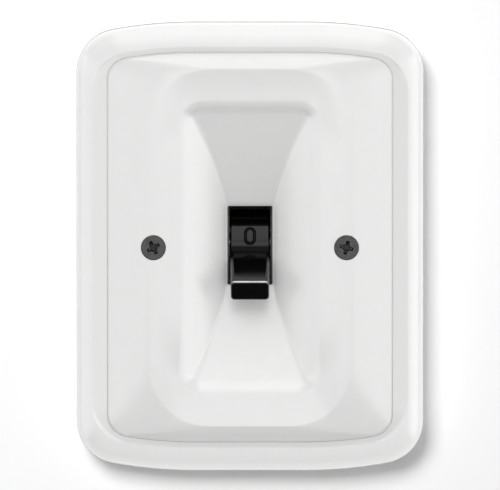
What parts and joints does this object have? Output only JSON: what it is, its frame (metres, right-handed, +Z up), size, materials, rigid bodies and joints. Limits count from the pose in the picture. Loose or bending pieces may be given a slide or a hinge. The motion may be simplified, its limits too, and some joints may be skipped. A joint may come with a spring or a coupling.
{
  "type": "three-pole wall switch",
  "caption": "Flush wall switch: white surround frame and funnel cover, black toggle lever, and a boxed contact mechanism with screw terminals behind.",
  "frame": {"origin": "centre of the switch on the wall's surface, behind the middle of the lever's slot", "axes": "+X to the right seen from the front, +Z up, +Y into the wall; the front faces -Y"},
  "size_m": [0.09, 0.0483, 0.1168],
  "materials": {
    "frame_plastic": "smooth glossy white thermoplastic",
    "cover_plastic": "smooth glossy white thermoplastic",
    "black_plastic": "polished black moulding",
    "dark_steel": "blackened steel",
    "bright_steel": "drawn spring steel",
    "zinc_steel": "zinc plated",
    "ivory_moulding": "moulded insulating plastic",
    "dark_moulding": "dark brown phenolic",
    "brass": "stamped brass",
    "copper": "stamped copper alloy"
  },
  "bodies": {
    "lever": {"lever": "black_plastic", "drive_pin": "bright_steel"},
    "carrier": {"contact_carrier": "ivory_moulding", "bridge_spring_1": "bright_steel", "bridge_spring_2": "bright_steel", "bridge_spring_3": "bright_steel"},
    "bridge_1": {"contact_bridge_1": "copper"},
    "bridge_2": {"contact_bridge_2": "copper"},
    "bridge_3": {"contact_bridge_3": "copper"},
    "spring": {"toggle_spring": "bright_steel"},
    "housing": {"surround_frame": "frame_plastic", "front_cover": "cover_plastic", "cover_screw_left": "dark_steel", "cover_screw_right": "dark_steel", "mounting_strap": "zinc_steel", "strap_screw_1": "zinc_steel", "strap_screw_2": "zinc_steel", "bearing_plate": "dark_moulding", "pivot_pin": "bright_steel", "mechanism_base": "dark_moulding", "line_terminal_1": "brass", "line_terminal_2": "brass", "line_terminal_3": "brass", "load_terminal_1": "brass", "load_terminal_2": "brass", "load_terminal_3": "brass", "line_clamp_1": "zinc_steel", "line_clamp_2": "zinc_steel", "line_clamp_3": "zinc_steel", "load_clamp_1": "zinc_steel", "load_clamp_2": "zinc_steel", "load_clamp_3": "zinc_steel", "line_screw_1": "brass", "line_screw_2": "brass", "line_screw_3": "brass", "load_screw_1": "brass", "load_screw_2": "brass", "load_screw_3": "brass"}
  },
  "joints": [
    {"name": "lever_tilt", "type": "hinge", "parent": "housing", "child": "lever", "pos_m": [0, 0.0106, 0], "axis": [1, 0, 0], "range_deg": [-56, 0]},
    {"name": "carrier_slide", "type": "slide", "parent": "housing", "child": "carrier", "axis": [0, 0, 1], "range_m": [-0.0057, 0]},
    {"name": "spring_swing", "type": "hinge", "parent": "housing", "child": "spring", "pos_m": [0, 0.0262, 0], "axis": [1, 0, 0], "range_deg": [0, 50.8], "deforming": ["toggle_spring"]},
    {"name": "bridge_1_lift", "type": "slide", "parent": "carrier", "child": "bridge_1", "axis": [0, 0, 1], "range_m": [0, 0.0008], "stiffness_N_per_m": 40, "springref_m": -0.0005, "deforming": ["bridge_spring_1"]},
    {"name": "bridge_2_lift", "type": "slide", "parent": "carrier", "child": "bridge_2", "axis": [0, 0, 1], "range_m": [0, 0.0008], "stiffness_N_per_m": 40, "springref_m": -0.0005, "deforming": ["bridge_spring_2"]},
    {"name": "bridge_3_lift", "type": "slide", "parent": "carrier", "child": "bridge_3", "axis": [0, 0, 1], "range_m": [0, 0.0008], "stiffness_N_per_m": 40, "springref_m": -0.0005, "deforming": ["bridge_spring_3"]}
  ],
  "couplings": [
    {"joint": "carrier_slide", "follows": "lever_tilt", "m_per_rad": 0.005764},
    {"joint": "spring_swing", "follows": "lever_tilt", "ratio": -0.9}
  ]
}
